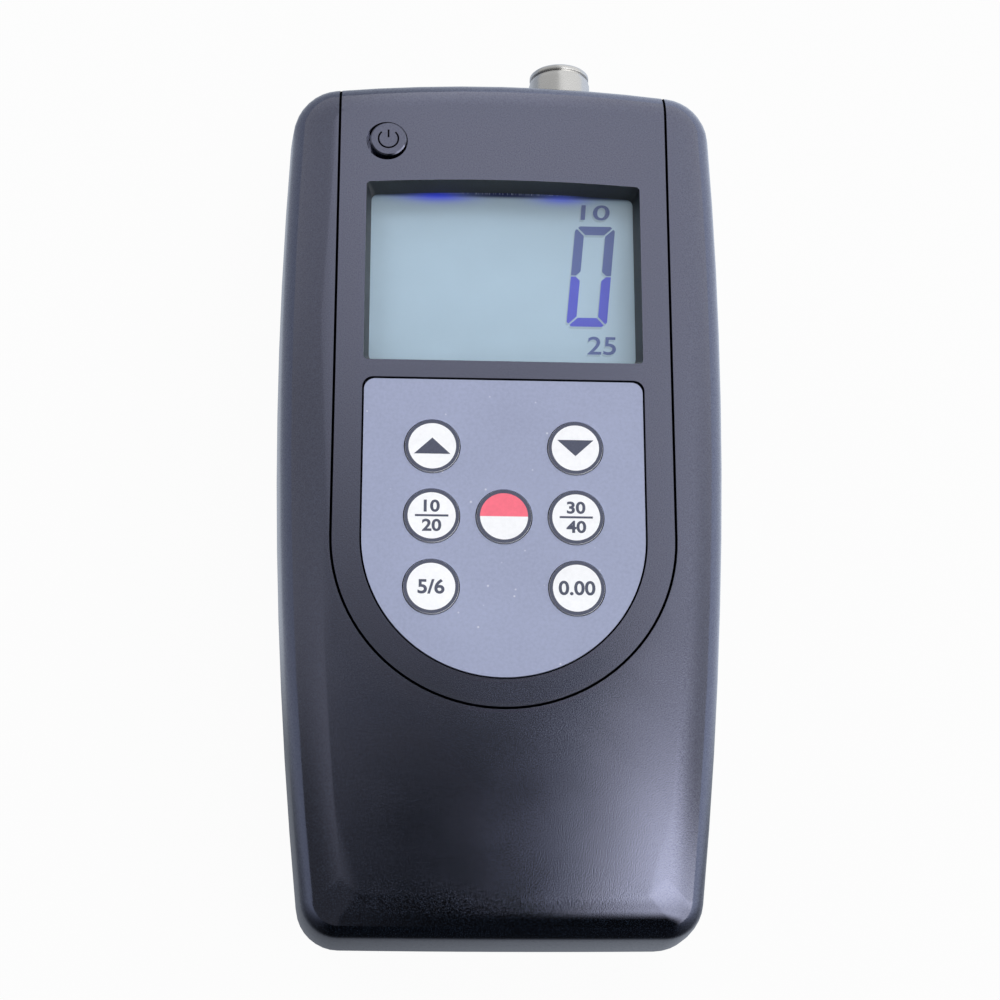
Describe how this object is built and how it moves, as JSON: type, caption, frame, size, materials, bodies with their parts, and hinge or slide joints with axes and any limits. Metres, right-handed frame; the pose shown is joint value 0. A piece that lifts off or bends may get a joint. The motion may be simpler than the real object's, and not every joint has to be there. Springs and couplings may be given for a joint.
{
  "type": "coating thickness gauge",
  "caption": "Hand-held coating thickness gauge: barrel-sided dark housing with a tongue-shaped front panel, sunk display, round keys, power button and a probe socket.",
  "frame": {"origin": "middle of the housing's flat back face", "axes": "+Z out of the front face, +Y toward the probe socket end, +X toward the right key column"},
  "size_m": [0.0708, 0.1438, 0.0325],
  "materials": {
    "housing_plastic": "satin",
    "panel_plastic": "satin",
    "film": "satin",
    "key_white": "satin",
    "key_red": "satin",
    "button_plastic": "satin",
    "clear_pane": "polished",
    "display_glass": "satin",
    "bezel_plastic": "matt",
    "light_guide": "satin",
    "elastomer": "matt",
    "board": "satin",
    "dome_steel": "satin",
    "socket_metal": "satin",
    "insulator": "matt",
    "contact_brass": "polished",
    "cell": "satin",
    "spring_steel": "satin",
    "screw_steel": "satin"
  },
  "bodies": {
    "gauge": {"front_shell": "housing_plastic", "rear_shell": "housing_plastic", "front_panel": "panel_plastic", "keypad_overlay": "film", "display_window": "clear_pane", "display_glass": "display_glass", "display_bezel": "bezel_plastic", "backlight": "light_guide", "contact_strips": "elastomer", "main_board": "board", "key_domes": "dome_steel", "power_switch": "bezel_plastic", "socket_shell": "socket_metal", "socket_insert": "insulator", "socket_contacts": "contact_brass", "socket_nut": "socket_metal", "cell_1": "cell", "cell_2": "cell", "cell_3": "cell", "cell_4": "cell", "spring_contacts": "spring_steel", "plate_contacts": "spring_steel", "case_screws": "screw_steel", "board_screws": "screw_steel"},
    "key_up_body": {"key_up": "key_white"},
    "key_down_body": {"key_down": "key_white"},
    "key_units_body": {"key_units": "key_white"},
    "key_calibrate_body": {"key_calibrate": "key_red"},
    "key_metal_body": {"key_metal": "key_white"},
    "key_mode_body": {"key_mode": "key_white"},
    "key_zero_body": {"key_zero": "key_white"},
    "power_button_body": {"power_button": "button_plastic"},
    "battery_door_body": {"battery_door": "housing_plastic"}
  },
  "joints": [
    {"name": "key_up_press", "type": "slide", "parent": "gauge", "child": "key_up_body", "axis": [0, 0, -1], "range_m": [0, 0.0004], "stiffness_N_per_m": 2000, "springref_m": -0.0005},
    {"name": "key_down_press", "type": "slide", "parent": "gauge", "child": "key_down_body", "axis": [0, 0, -1], "range_m": [0, 0.0004], "stiffness_N_per_m": 2000, "springref_m": -0.0005},
    {"name": "key_units_press", "type": "slide", "parent": "gauge", "child": "key_units_body", "axis": [0, 0, -1], "range_m": [0, 0.0004], "stiffness_N_per_m": 2000, "springref_m": -0.0005},
    {"name": "key_calibrate_press", "type": "slide", "parent": "gauge", "child": "key_calibrate_body", "axis": [0, 0, -1], "range_m": [0, 0.0004], "stiffness_N_per_m": 2000, "springref_m": -0.0005},
    {"name": "key_metal_press", "type": "slide", "parent": "gauge", "child": "key_metal_body", "axis": [0, 0, -1], "range_m": [0, 0.0004], "stiffness_N_per_m": 2000, "springref_m": -0.0005},
    {"name": "key_mode_press", "type": "slide", "parent": "gauge", "child": "key_mode_body", "axis": [0, 0, -1], "range_m": [0, 0.0004], "stiffness_N_per_m": 2000, "springref_m": -0.0005},
    {"name": "key_zero_press", "type": "slide", "parent": "gauge", "child": "key_zero_body", "axis": [0, 0, -1], "range_m": [0, 0.0004], "stiffness_N_per_m": 2000, "springref_m": -0.0005},
    {"name": "power_button_press", "type": "slide", "parent": "gauge", "child": "power_button_body", "axis": [0, 0, -1], "range_m": [0, 0.0008], "stiffness_N_per_m": 1500, "springref_m": -0.0006},
    {"name": "battery_door_slide", "type": "slide", "parent": "gauge", "child": "battery_door_body", "axis": [0, -1, 0], "range_m": [0, 0.055]}
  ]
}
